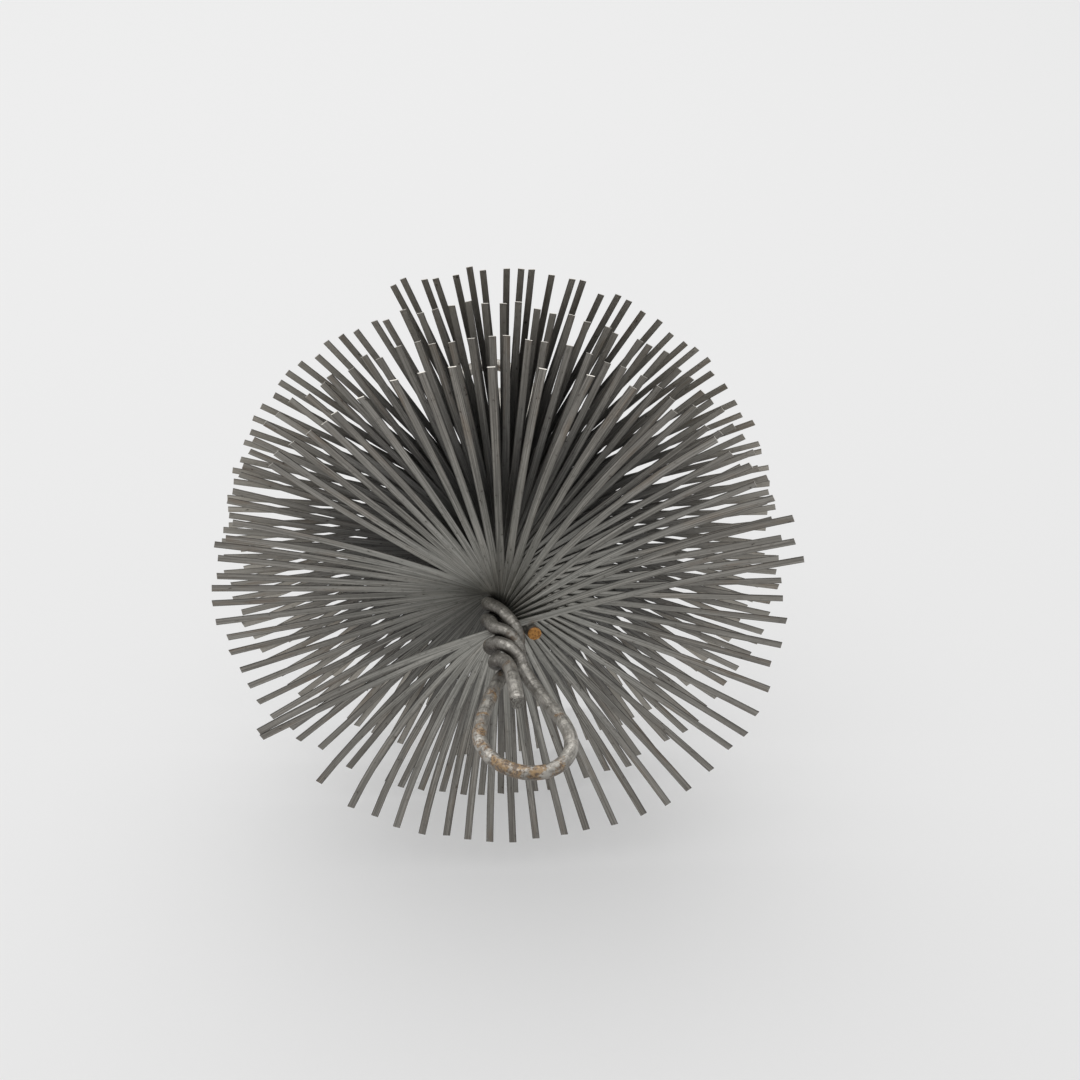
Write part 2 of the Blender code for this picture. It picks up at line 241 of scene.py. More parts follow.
class Skin:
    """A piece's surface while it grows ring by ring, with the place and the marks that each point carries."""

    def __init__(self):
        self.points = []
        self.places = []
        self.marks = {}
        self.faces = []
        self.finishes = []

    def add_point(self, point, place, **marks):
        """Add a point with its place in mm on the surface laid flat, and its marks, and give its number."""
        self.points.append(tuple(point))
        self.places.append(place)
        for mark, value in marks.items():
            self.marks.setdefault(mark, []).append(value)
        return len(self.points) - 1

    def join(self, behind, ahead, finish):
        """Faces all round between one ring of points and the next."""
        for step in range(len(ahead)):
            following = (step + 1) % len(ahead)
            self.faces.append((behind[step], behind[following], ahead[following], ahead[step]))
            self.finishes.append(finish)

    def close(self, ring, finish):
        """One face over a ring of points."""
        self.faces.append(tuple(ring))
        self.finishes.append(finish)

    def mesh(self, name, map_name, finishes):
        """The mesh of the surface, with the places as its UV map and the marks as its attributes."""
        mesh = bpy.data.meshes.new(name)
        mesh.from_pydata(self.points, [], self.faces)
        for finish in finishes:
            mesh.materials.append(finish)
        mesh.polygons.foreach_set("material_index", self.finishes)
        layer = mesh.uv_layers.new(name=map_name)
        for loop in mesh.loops:
            layer.data[loop.index].uv = self.places[loop.vertex_index]
        for mark, values in self.marks.items():
            mesh.attributes.new(mark, "FLOAT", "POINT").data.foreach_set("value", values)
        shape = bmesh.new()
        shape.from_mesh(mesh)
        bmesh.ops.recalc_face_normals(shape, faces=shape.faces[:])
        shape.to_mesh(mesh)
        shape.free()
        return mesh


def strip_place(number):
    """Distance of a strip behind the first one. The first strips are clamped less tightly."""
    share = number / (STRIP_COUNT - 1)
    loose = 1 - (1 - share) ** LOOSER_POWER
    return BRISTLED_LENGTH * ((1 - LOOSER_FRONT) * share + LOOSER_FRONT * loose)


def eased(first, last, start, end, share):
    """A value that eases from first to last between two shares of the bristled length."""
    return first + (last - first) * smooth_step((share - start) / (end - start))


def forward_lean(share):
    """How far the tips lie in front of the strip's middle."""
    if share < MOST_LEAN_AT:
        return eased(FRONT_LEAN, MOST_LEAN, 0, MOST_LEAN_AT, share)
    return eased(MOST_LEAN, REST_LEAN, MOST_LEAN_AT, REST_LEAN_FROM, share)


def settled_slide(share, angle):
    """How far a strip has slid through the core, towards its + end."""
    settled = REST_TO_RIGHT * math.cos(angle) - REST_LOWERED * math.sin(angle)
    return eased(FRONT_SLIDE, settled, FRONT_SLIDE_TO, REST_SLIDE_FROM, share)


def parted(angle):
    """Sideways bend of a + end of the front turn, away from the place where the bristles are parted."""
    off = angle - PARTING_ANGLE
    if abs(off) > PARTING_REACH:
        return 0.0
    return math.copysign(PARTING_PUSH * (1 - abs(off) / PARTING_REACH), off)


def droop(angle):
    """How far both ends of a strip near the front have bent down."""
    off = abs(angle - DROOP_ANGLE)
    return DROOP_PUSH * max(0.0, 1 - off / DROOP_REACH)


def held_by_floor(slide, low_side, low_angle):
    """Slide of a strip after the floor has pushed its low end up, where that would reach too far down."""
    down = abs(math.sin(low_angle))
    longest = (LOWEST_REACH - STRIP_WIDTH / 2 * abs(math.cos(low_angle))) / down
    reach = min(BRUSH_RADIUS + low_side * slide, longest)
    return low_side * (reach - BRUSH_RADIUS)


def lay_strips():
    """Place, angle, slide, leans and sways of every strip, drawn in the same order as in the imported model."""
    chance = random.Random(SEED)
    strips = []
    for number in range(STRIP_COUNT):
        y = strip_place(number)
        share = y / BRISTLED_LENGTH
        angle = strip_angle(y) + chance.uniform(-ANGLE_SPREAD, ANGLE_SPREAD)
        leans = []
        for side in (0, 1):
            wave = math.sin(2 * math.pi * number / STRIPS_PER_WAVE + 2 * side)
            leans.append(forward_lean(share) + LEAN_WAVE * wave + chance.uniform(-LEAN_SPREAD, LEAN_SPREAD))
        sways = [chance.uniform(-SWAY_SPREAD, SWAY_SPREAD) + parted(angle) - droop(angle),
                 chance.uniform(-SWAY_SPREAD, SWAY_SPREAD) + droop(angle)]
        if number < len(FIRST_STRIPS_SWAYS):
            sways = FIRST_STRIPS_SWAYS[number]
        slide = settled_slide(share, angle) + chance.uniform(-SLIDE_SPREAD, SLIDE_SPREAD)
        low_side = -1 if math.sin(angle) > 0 else 1
        slide = held_by_floor(slide, low_side, angle + sways[0 if low_side > 0 else 1])
        strips.append((y, angle, slide, leans, sways))
    return strips


def strip_section():
    """Half width and half thickness of each corner of a strip's section, with its edges rounded."""
    half_width = STRIP_WIDTH / 2
    half_thickness = STRIP_THICKNESS / 2
    corners = []
    for width_side, thickness_side in ((1, -1), (-1, -1), (-1, 1), (1, 1)):
        flat = (width_side * (half_width - EDGE_ROUND), thickness_side * half_thickness)
        edge = (width_side * half_width, thickness_side * (half_thickness - EDGE_ROUND))
        corners += [edge, flat] if width_side * thickness_side < 0 else [flat, edge]
    return corners


def strip_stations():
    """Signed shares of the reach at which a strip gets a section, from one tip to the other."""
    outward = [(step + 1) / BRISTLE_SEGMENTS for step in range(BRISTLE_SEGMENTS)]
    held = BACKING_REACH / BRUSH_RADIUS
    return [-share for share in reversed(outward)] + [-held / 2, held / 2] + outward


def sheared_tip(corner, outward, slant, width_place):
    """A tip's corner after the slanted cut, and after the floor has cut the lowest tips flat."""
    corner = corner + outward * slant * width_place / STRIP_WIDTH
    below = -AXIS_HEIGHT - corner.z
    if below > 0 and outward.z < 0:
        corner = corner + outward * below / outward.z
    return corner


def add_strip(skin, strip, chance):
    """One whole strip, from tip to tip through the core."""
    y, angle, slide, leans, sways = strip
    own_chance = chance.random()
    rolls = [chance.uniform(-ROLL_SPREAD, ROLL_SPREAD) for side in (0, 1)]
    slants = [chance.uniform(-SHEAR_SLANT, SHEAR_SLANT) for side in (0, 1)]
    section = strip_section()
    depth = y / BRISTLED_LENGTH
    seen_width = SEEN_WIDTH_IN_FRONT + (SEEN_WIDTH_BEHIND - SEEN_WIDTH_IN_FRONT) * y / BRISTLED_LENGTH
    rings = []
    for station in strip_stations():
        side = 1 if station > 0 else -1
        share = abs(station)
        reach = BRUSH_RADIUS + side * slide
        end = 0 if side > 0 else 1
        direction = angle + sways[end] * share
        heading = angle + 2 * sways[end] * share
        across = Vector((-math.sin(heading), 0, math.cos(heading)))
        slope = 2 * leans[end] * share / reach
        through = Vector((side * slope * math.cos(heading), 1, side * slope * math.sin(heading))).normalized()
        roll = rolls[end] * share
        rolled_across = across * math.cos(roll) + through * math.sin(roll)
        through = through * math.cos(roll) - across * math.sin(roll)
        across = rolled_across
        centre = radial_point(side * reach * share, direction, y - leans[end] * share ** 2)
        outward = radial_point(side, heading, 0)
        ring = []
        for width_place, thickness_place in section:
            corner = centre + across * width_place * seen_width / STRIP_WIDTH + through * thickness_place
            if share == 1.0:
                corner = sheared_tip(corner, outward, slants[end], width_place)
            place = (side * reach * share / MM, width_place / MM)
            ring.append(skin.add_point(to_world(corner), place, strip_chance=own_chance, strip_depth=depth))
        rings.append(ring)
    skin.close(rings[0], CUT_END)
    for behind, ahead in zip(rings, rings[1:]):
        skin.join(behind, ahead, SURFACE)
    skin.close(reversed(rings[-1]), CUT_END)


def add_fan(number, strips, finishes):
    """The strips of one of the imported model's fans, as one piece."""
    skin = Skin()
    chance = random.Random(FAN_SEED + number)
    for strip in strips:
        add_strip(skin, strip, chance)
    mesh = skin.mesh("strips_%02d" % number, "rolled", finishes)
    piece = bpy.data.objects.new("steel_strips_%02d" % number, mesh)
    bpy.context.scene.collection.objects.link(piece)
    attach(piece, "root")
    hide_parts("bristle_fan_%02d" % number)


class CoreEnd:
    """One bare end of the core, described by the distance outward from the last strip there."""

    def __init__(self, at_front):
        self.at_front = at_front
        self.bend = FRONT_BEND if at_front else REAR_BEND
        self.phase = strip_angle(0) if at_front else (math.pi - strip_angle(BRISTLED_LENGTH)) % math.pi

    def place(self, x, out, z):
        """A point of this end in the core's own directions, after the end's bend to the side and up."""
        bent = out - BEND_EASE / 2 if out > BEND_EASE else max(out, 0) ** 2 / (2 * BEND_EASE)
        x += self.bend[0] * bent
        z += self.bend[1] * bent
        if self.at_front:
            return Vector((x, -out, z))
        return Vector((-x, BRISTLED_LENGTH + out, z))

    def turned(self, out):
        """How far the wires have turned up to here. The twist tightens from the bristles' to the bare one."""
        change = out - TWIST_CHANGE / 2 if out > TWIST_CHANGE else out ** 2 / (2 * TWIST_CHANGE)
        return TWIST_RATE * out + (BARE_TWIST_RATE - TWIST_RATE) * change

    def leaving_distance(self, start, lag, leaving_angle):
        """Where a leg that starts at one angle has turned to the angle at which it leaves the twist."""
        total = start + lag - leaving_angle + (BARE_TWIST_RATE - TWIST_RATE) * TWIST_CHANGE / 2
        return total / BARE_TWIST_RATE

    def helix(self, start, lag, until):
        """A leg's points from the last strip to where it leaves the twist, and its direction there."""
        count = round(self.turned(until) / WIRE_STEP_ANGLE)
        points = []
        for step in range(1, count + 1):
            out = until * step / count
            settled = smooth_step(out / TWIST_CHANGE)
            angle = start + lag * settled - self.turned(out)
            radius = HELIX_RADIUS + (BARE_RADIUS - HELIX_RADIUS) * smooth_step(out / until)
            points.append((radius * math.cos(angle), out, radius * math.sin(angle)))
        across = BARE_RADIUS * BARE_TWIST_RATE
        heading = Vector((across * math.sin(angle), 1, -across * math.cos(angle))).normalized()
        return points, heading

    def placed(self, points):
        return [self.place(*point) for point in points]


def bezier(start, start_handle, end_handle, end, count):
    """Points of a smooth bend, without its start."""
    points = []
    for step in range(1, count + 1):
        share = step / count
        rest = 1 - share
        points.append(rest ** 3 * start + 3 * rest ** 2 * share * start_handle
                      + 3 * rest * share ** 2 * end_handle + share ** 3 * end)
    return points


def eye_leg(end, side):
    """A leg from the last strip through the bare twist to the widest place of the eye."""
    if side < 0:
        start = end.phase + FAR_LEG_ANGLE
        lag = LEFT_LEG_LAG
        leaving = LEFT_LEG_LEAVES
        run_out = LEFT_LEG_RUN_OUT
        run_in = LEFT_EYE_RUN_IN
    else:
        start = end.phase - FAR_LEG_ANGLE + 2 * math.pi
        lag = RIGHT_LEG_LAG
        leaving = RIGHT_LEG_LEAVES
        run_out = LEG_RUN_OUT
        run_in = EYE_RUN_IN
    until = end.leaving_distance(start, lag, leaving)
    points, heading = end.helix(start, lag, until)
    last = Vector(points[-1])
    widest = Vector((side * EYE_HALF_WIDTH, EYE_CENTRE, 0))
    handle = widest - Vector((0, run_in, 0))
    points += bezier(last, last + heading * run_out, handle, widest, LEG_POINTS)
    return end.placed(points)


def eye_round(end):
    """The round bend of the eye, between the widest places of its two legs."""
    points = []
    for step in range(1, EYE_ROUND_POINTS):
        angle = math.pi * (1 - step / EYE_ROUND_POINTS)
        out = EYE_CENTRE + EYE_ROUND_LENGTH * math.sin(angle)
        points.append((EYE_HALF_WIDTH * math.cos(angle), out, 0))
    return end.placed(points)


def tail(end):
    """The long free end of a wire, which lies on the eye."""
    start = end.phase + NEAR_LEG_ANGLE
    until = end.leaving_distance(start, 0, TAIL_LEAVES)
    points, heading = end.helix(start, 0, until)
    last = Vector(points[-1])
    tip = Vector((TAIL_TO_SIDE, TAIL_END, TAIL_HEIGHT))
    handle = tip - Vector((0, TAIL_RUN_IN, -TAIL_DIP))
    points += bezier(last, last + heading * TAIL_RUN_OUT, handle, tip, TAIL_POINTS)
    return end.placed(points)


def core_leg(offset):
    """A leg along the strips, beside them all the way."""
    count = round(BRISTLE_TWIST / WIRE_STEP_ANGLE)
    points = []
    for step in range(count + 1):
        share = step / count
        y = BRISTLED_LENGTH * share
        points.append(radial_point(HELIX_RADIUS, strip_angle(y) + offset, y))
    return points


def short_cut_leg(end, offset):
    """A leg along the strips that springs away from the core near this end, where it was cut off."""
    points = core_leg(offset)
    if end.at_front:
        points.reverse()
    last_held = STUB_SPRING if end.at_front else BRISTLED_LENGTH - STUB_SPRING
    points = [point for point in points if (point.y > last_held) == end.at_front]
    travel = STUB_SPRING + STUB_REACH
    for step in range(1, STUB_POINTS + 1):
        share = step / STUB_POINTS
        inward = STUB_SPRING - travel * share
        sprung = smooth_step(share)
        held_angle = end.phase - NEAR_LEG_ANGLE + TWIST_RATE * inward
        angle = held_angle + (STUB_LAG - TWIST_RATE * inward) * sprung
        radius = HELIX_RADIUS + STUB_FLARE * sprung
        points.append(end.place(radius * math.cos(angle), -inward, radius * math.sin(angle)))
    return points


def front_eye_wire_path(front, rear):
    """From the free end at the rear, through the core, round the front eye and back to the cut rear end."""
    long_leg = list(reversed(tail(rear))) + list(reversed(core_leg(FAR_LEG_ANGLE)))
    eye = eye_leg(front, -1) + eye_round(front) + list(reversed(eye_leg(front, 1)))
    return long_leg + eye + short_cut_leg(rear, -FAR_LEG_ANGLE)


def rear_eye_wire_path(front, rear):
    """From the free end at the front, through the core, round the rear eye and back to the cut front end."""
    long_leg = list(reversed(tail(front))) + core_leg(NEAR_LEG_ANGLE)
    eye = eye_leg(rear, -1) + eye_round(rear) + list(reversed(eye_leg(rear, 1)))
    return long_leg + eye + short_cut_leg(front, -NEAR_LEG_ANGLE)


def sweep_wire(path):
    """The rings of a round skin along the path, with bevelled cut ends and carried along without twist.

    Each ring has its middle, the wire's direction, a direction across, the run from the first end, and its
    share of the wire's radius.
    """
    points = [to_world(point) for point in path]
    tangents = []
    for index in range(len(points)):
        ahead = points[min(index + 1, len(points) - 1)]
        behind = points[max(index - 1, 0)]
        tangents.append((ahead - behind).normalized())
    normal = tangents[0].orthogonal().normalized()
    rings = []
    run = 0.0
    for index, (point, tangent) in enumerate(zip(points, tangents)):
        normal = (normal - tangent * normal.dot(tangent)).normalized()
        rings.append((point, tangent, normal.copy(), run, 1.0))
        if index + 1 < len(points):
            run += (points[index + 1] - point).length
    inset = 1 - CUT_BEVEL / WIRE_RADIUS
    point, tangent, normal, run, size = rings[0]
    rings[0] = (point + tangent * CUT_BEVEL, tangent, normal, run, size)
    rings.insert(0, (point, tangent, normal, run, inset))
    point, tangent, normal, run, size = rings[-1]
    rings[-1] = (point - tangent * CUT_BEVEL, tangent, normal, run, size)
    rings.append((point, tangent, normal, run, inset))
    return rings


# Rust patches, given one by one. Each has its place in mm, to the side, outward from the last strip of its
# end and up, how far it spreads in mm, and how dense it is
FRONT_RUST = (
    (-1.6, 18.0, -2.5, 6.0, 1.05),
    (-3.5, 27.0, -2.0, 7.0, 0.85),
    (-6.5, 36.0, 0.0, 8.0, 0.60),
    (-5.5, 42.5, 0.0, 7.5, 0.85),
    (-3.8, 48.5, 0.0, 7.0, 0.75),
    (0.5, 53.5, 0.5, 7.0, 0.95),
    (4.5, 55.8, 0.5, 7.5, 1.10),
    (9.5, 56.2, 0.5, 7.0, 1.00),
    (14.0, 53.5, 0.5, 5.5, 0.60),
    (13.4, 36.0, 1.7, 3.2, 0.85),
    (16.8, 45.0, 1.0, 5.0, 0.35),
    (7.0, 22.0, 2.5, 6.0, 0.45),
    (-3.2, 7.5, 1.0, 2.6, 1.70),
    (2.5, 9.0, 4.0, 3.0, 0.65),
    (1.0, 22.0, 5.5, 6.0, 0.50),
)
REAR_RUST = (
    (-6.0, 44.0, 0.0, 6.0, 0.80),
    (4.0, 55.0, 6.0, 6.0, 0.90),
    (12.0, 40.0, 3.0, 4.0, 0.70),
)
STUB_RUST = 2.0
STUB_RUST_LENGTH = 2.2 * MM

# The wires are darker in the twist, and this fades out between two distances from the strips. Painted shade
# between the turns is darkest where the next turn touches, and a wire doesn't shade itself within two diameters
# along it. Painted shade under the wires sets in where the skin faces up by less than the first number, and is
# full where it has turned away by the second
DARKEST_TO = 14 * MM
UNDARKENED_FROM = 32 * MM
CREVICE_GAP = 1.7 * MM
OWN_LENGTH = 4 * WIRE_RADIUS
UNDERSIDE_FROM = 0.76
UNDERSIDE_REACH = 0.95


def rust_at(point):
    """How much rust lies at this point of a wire, by its distance from each rusted place."""
    most = 0.0
    for at_front, places in ((True, FRONT_RUST), (False, REAR_RUST)):
        for x, out, z, spread, density in places:
            y = -out * MM if at_front else BRISTLED_LENGTH + out * MM
            centre = to_world(Vector((x * MM if at_front else -x * MM, y, z * MM)))
            distance = (point - centre).length
            most = max(most, density * (1 - smooth_step(distance / (spread * MM))))
    return most


def grime_at(point):
    """The wires are darker in the twist, and this fades towards the eyes."""
    y = point.y - FIRST_STRIP_Y
    out = max(-y, y - BRISTLED_LENGTH)
    return 1 - smooth_step((out - DARKEST_TO) / (UNDARKENED_FROM - DARKEST_TO))


def groove_depth(run, outward):
    """The cutter's jaws left a groove just before the long leg's end, deeper on its left and right."""
    along = max(0.0, 1 - abs(run - GROOVE_FROM_END) / GROOVE_LENGTH)
    flank = max(0.0, abs(outward.x) - GROOVE_FLANK) / (1 - GROOVE_FLANK)
    return GROOVE_DEPTH * along * (GROOVE_ROUND + (1 - GROOVE_ROUND) * flank)


def centre_lines(paths):
    """A search tree of points along the middles of both wires, and each point's wire and run along it."""
    found = []
    for wire, path in enumerate(paths):
        run = 0.0
        for behind, ahead in zip(path, path[1:]):
            start, end = to_world(behind), to_world(ahead)
            found.append((start, wire, run))
            found.append((start.lerp(end, 0.5), wire, run + (end - start).length / 2))
            run += (end - start).length
    tree = kdtree.KDTree(len(found))
    for index, (point, wire, run) in enumerate(found):
        tree.insert(point, index)
    tree.balance()
    return tree, found


def crevice_at(corner, wire, run, lines):
    """How deep this point lies between its wire and the next turn, for its painted shade: 0 in the open, 1
    where they touch.
    """
    tree, found = lines
    deepest = 0.0
    for point, index, distance in tree.find_range(corner, WIRE_RADIUS + CREVICE_GAP):
        other_wire, other_run = found[index][1:]
        if other_wire != wire or abs(other_run - run) > OWN_LENGTH:
            gap = max(0.0, distance - WIRE_RADIUS)
            deepest = max(deepest, 1 - smooth_step(gap / CREVICE_GAP))
    return deepest


def underside_at(outward):
    """Painted shade under the wires: none where the skin faces up, full where it has turned down."""
    return smooth_step((UNDERSIDE_FROM - outward.z) / UNDERSIDE_REACH)


def add_wire(number, name, node, path, lines, finishes):
    """One wire from its long leg's cut end to its short one's, with its rust, its darkening in the twist and
    its painted shade.
    """
    skin = Skin()
    length = sum((ahead - behind).length for behind, ahead in zip(path, path[1:]))
    rings = []
    for point, tangent, normal, run, size in sweep_wire(path):
        side_way = tangent.cross(normal)
        stub_rust = STUB_RUST * (1 - smooth_step((length - run) / STUB_RUST_LENGTH))
        ring = []
        for step in range(WIRE_SIDES):
            angle = 2 * math.pi * step / WIRE_SIDES
            outward = normal * math.cos(angle) + side_way * math.sin(angle)
            round_place = (math.cos(angle) * UNEVEN_AROUND, math.sin(angle) * UNEVEN_AROUND)
            uneven = noise.noise(Vector((run / UNEVEN_LENGTH, *round_place)))
            groove = groove_depth(run, outward)
            radius = WIRE_RADIUS * size * (1 + UNEVEN_SHARE * uneven) - groove
            corner = point + outward * radius
            # Painted shade deep between the turns and in the cutter's groove
            crevice = max(crevice_at(corner, number, run, lines), groove / GROOVE_DEPTH)
            place = (run / MM, angle * WIRE_RADIUS / MM)
            ring.append(skin.add_point(corner, place, rust=max(rust_at(corner), stub_rust),
                                       grime=grime_at(corner), crevice=crevice,
                                       underside=underside_at(outward)))
        rings.append(ring)
    ring_finishes = [SURFACE] * (len(rings) - 1)
    ring_finishes[0] = CUT_END
    ring_finishes[-1] = RUSTED_END
    for behind, ahead, finish in zip(rings, rings[1:], ring_finishes):
        skin.join(behind, ahead, finish)
    skin.close(rings[0], CUT_END)
    skin.close(reversed(rings[-1]), RUSTED_END)
    mesh = skin.mesh(name, "drawn", finishes)
    mesh.polygons.foreach_set("use_smooth", [finish == SURFACE for finish in skin.finishes])
    wire = bpy.data.objects.new(name, mesh)
    bpy.context.scene.collection.objects.link(wire)
    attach(wire, "root")
    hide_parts(node)


def in_millimetres(finish):
    """The place on the piece in mm, in the piece's own directions."""
    metres = finish.node("ShaderNodeTexCoord").outputs["Object"]
    settings = {"operation": "MULTIPLY", 1: (1 / MM, 1 / MM, 1 / MM)}
    return finish.node("ShaderNodeVectorMath", settings, _0=metres)


def pattern(finish, place, cycles, detail):
    """An irregular pattern with this many cycles for each mm along each of the place's directions."""
    scaled = finish.node("ShaderNodeVectorMath", {"operation": "MULTIPLY", 1: cycles}, _0=place)
    settings = {"Scale": 1.0, "Detail": detail, "Roughness": 0.6}
    return finish.node("ShaderNodeTexNoise", settings, Vector=scaled)


def rise(low, high, least=0.0, most=1.0):
    """The settings with which a Map Range node rises smoothly from least at low to most at high."""
    return {"interpolation_type": "SMOOTHSTEP", "From Min": low, "From Max": high,
            "To Min": least, "To Max": most}


def coat(finish, under, colour, *reasons):
    """Lay a colour over what is under it, which is a colour or an output, as far as all reasons allow.

    A reason is a share by itself, or a measure and the limits of its rise. Inputs 6 and 7 of a Mix node and
    its output 2 are its colours.
    """
    amount = None
    for reason in reasons:
        share = reason
        if isinstance(reason, tuple):
            measure, *limits = reason
            share = finish.node("ShaderNodeMapRange", rise(*limits), Value=measure)
        if amount is None:
            amount = share
        else:
            amount = finish.node("ShaderNodeMath", {"operation": "MULTIPLY"}, _0=amount, _1=share)
    settings = {"data_type": "RGBA", 7: linear(colour)}
    links = {"_0": amount}
    if isinstance(under, str):
        settings[6] = linear(under)
    else:
        links["_6"] = under
    return finish.node("ShaderNodeMix", settings, **links).outputs[2]


def tempered_strip_steel():
    """Cold-rolled spring steel, hardened and tempered: dull dark grey, with fine rolling lines.

    Each strip is a little lighter or darker than the next, and lighter near the core. Towards the tips it is
    worn lighter, dusty and stained brown with small dark spots; the lighter tips are partly wear and partly
    painted light, which lifts the rear strips most. Its slit edges are darker, partly from dark edges and
    partly as painted shade between neighbouring strips. Painted shade darkens the strips deep between them,
    behind the first rows.
    """
    finish = Finish("tempered spring steel strip", "#8b8983", 1.0, 0.4)
    place = finish.node("ShaderNodeUVMap", {"uv_map": "rolled"})
    axes = finish.node("ShaderNodeSeparateXYZ", {}, Vector=place)
    chance, depth = [finish.node("ShaderNodeAttribute", {"attribute_name": mark}).outputs["Fac"]
                     for mark in ("strip_chance", "strip_depth")]
    # The strip's own chance sets it far from the others in the patterns, so that no two are marked alike
    shifted = finish.node("ShaderNodeMath", {"operation": "MULTIPLY", 1: 90.0}, _0=chance)
    own_place = finish.node("ShaderNodeCombineXYZ", {}, X=axes.outputs["X"], Y=axes.outputs["Y"], Z=shifted)
    from_core = finish.node("ShaderNodeMath", {"operation": "ABSOLUTE"}, _0=axes.outputs["X"])
    from_centre = finish.node("ShaderNodeMath", {"operation": "ABSOLUTE"}, _0=axes.outputs["Y"])
    # Streaks from the rolls, 0.6 mm wide and 50 mm long, and the rolling lines. Real lines lie a few
    # hundredths of a millimetre apart, too fine to show, so they are drawn 0.24 mm apart
    streaks = pattern(finish, own_place, (0.02, 1.7, 1.0), 3.0)
    lines = pattern(finish, own_place, (0.06, 4.2, 1.0), 3.0)
    # Stains 3 mm wide and 17 mm long, and spots and scuffs of 1 to 2 mm
    stains = pattern(finish, own_place, (0.06, 0.35, 1.0), 4.0)
    spots = pattern(finish, own_place, (0.55, 0.9, 1.0), 2.0)
    scuffs = pattern(finish, own_place, (0.55, 1.3, 1.0), 6.0)
    shade = coat(finish, "#797873", "#979691", chance)
    # Lighter near the core
    lighter_near_core = coat(finish, shade, "#b3b3ac", (from_core, 8.0, 42.0, 0.30, 0.0))
    streaked = coat(finish, lighter_near_core, "#555450", (streaks, 0.40, 0.66, 0.0, 0.5))
    lined = coat(finish, streaked, "#c6c3bc", (lines, 0.46, 0.66, 0.0, 0.5))
    # Lighter towards the tips: partly wear, and partly painted light that lifts the rear strips most
    worn = coat(finish, lined, "#c4c0b6", (from_core, 42.0, 72.0), (depth, 0.22, 0.9, 0.0, 0.75))
    scuffed = coat(finish, worn, "#4c4946", (scuffs, 0.52, 0.70, 0.0, 0.36))
    dusty = coat(finish, scuffed, "#837a73", (from_core, 22.0, 70.0, 0.0, 0.24))
    stained = coat(finish, dusty, "#75604a",
                   (stains, 0.50, 0.68, 0.0, 0.36), (from_core, 25.0, 75.0, 0.2, 1.0))
    spotted = coat(finish, stained, "#3a332c", (spots, 0.69, 0.76, 0.0, 0.7))
    # Painted shade deep between the strips, behind the first rows
    painted_shade = coat(finish, spotted, "#33343a",
                 (depth, 0.26, 0.41, 0.0, 0.55), (from_core, 24.0, 72.0, 1.0, 0.0))
    # Darker slit edges: partly dark edges, partly painted shade between neighbouring strips
    dark_edges_and_painted_shade = coat(finish, painted_shade, "#413f3c",
                 (from_centre, 0.74, 1.03, 0.0, 0.72), (from_core, 8.0, 34.0, 0.25, 1.0))
    finish.link(finish.shader, "Base Color", dark_edges_and_painted_shade)
    dullness = finish.node("ShaderNodeMapRange", rise(0.3, 0.7, 0.34, 0.48), Value=streaks)
    finish.link(finish.shader, "Roughness", dullness)
    bump = finish.node("ShaderNodeBump", {"Strength": 0.25, "Distance": 0.02 * MM}, Height=lines)
    finish.link(finish.shader, "Normal", bump)
    return finish.material


def sheared_strip_steel():
    """The strip's sheared ends: bare steel, brighter than the tempered skin."""
    finish = Finish("sheared spring steel", "#dad6ce", 1.0, 0.32)
    return finish.material


